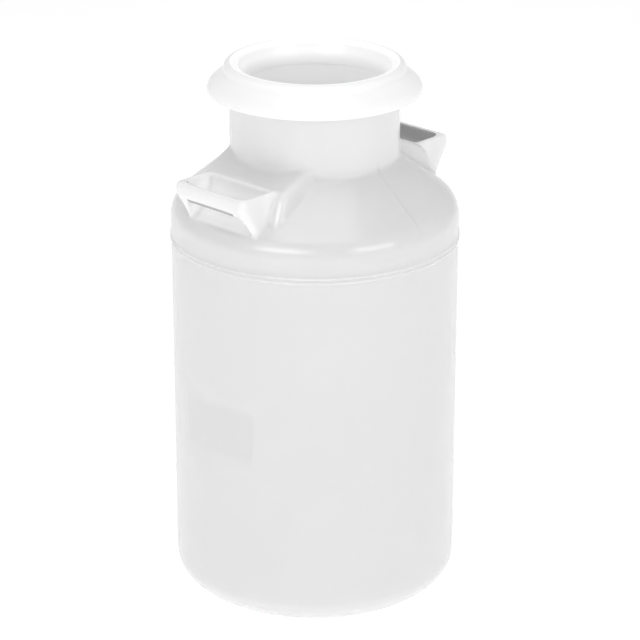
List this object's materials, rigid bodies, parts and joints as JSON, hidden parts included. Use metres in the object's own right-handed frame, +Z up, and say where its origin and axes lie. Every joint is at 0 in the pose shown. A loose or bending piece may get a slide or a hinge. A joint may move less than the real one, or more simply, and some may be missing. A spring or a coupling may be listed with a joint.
{
  "type": "plastic milk drum",
  "caption": "Tall round hollow milk drum in moulded plastic, with a sloping shoulder, a straight open neck, a flared collar and a moulded grip on each side of the shoulder.",
  "frame": {"origin": "middle of the flat base, on the surface that the drum stands on", "axes": "+Z up along the drum's axis; the grips lie along +X and -X; the mould's parting plane is the YZ plane; the bare plate is under the -X grip"},
  "size_m": [0.34, 0.3324, 0.6278],
  "materials": {
    "natural_plastic": "natural milky polyethylene with a soft satin skin",
    "white_plastic": "solid white plastic, smooth, half gloss"
  },
  "bodies": {
    "root": {"drum": "natural_plastic", "collar": "white_plastic"}
  },
  "joints": []
}
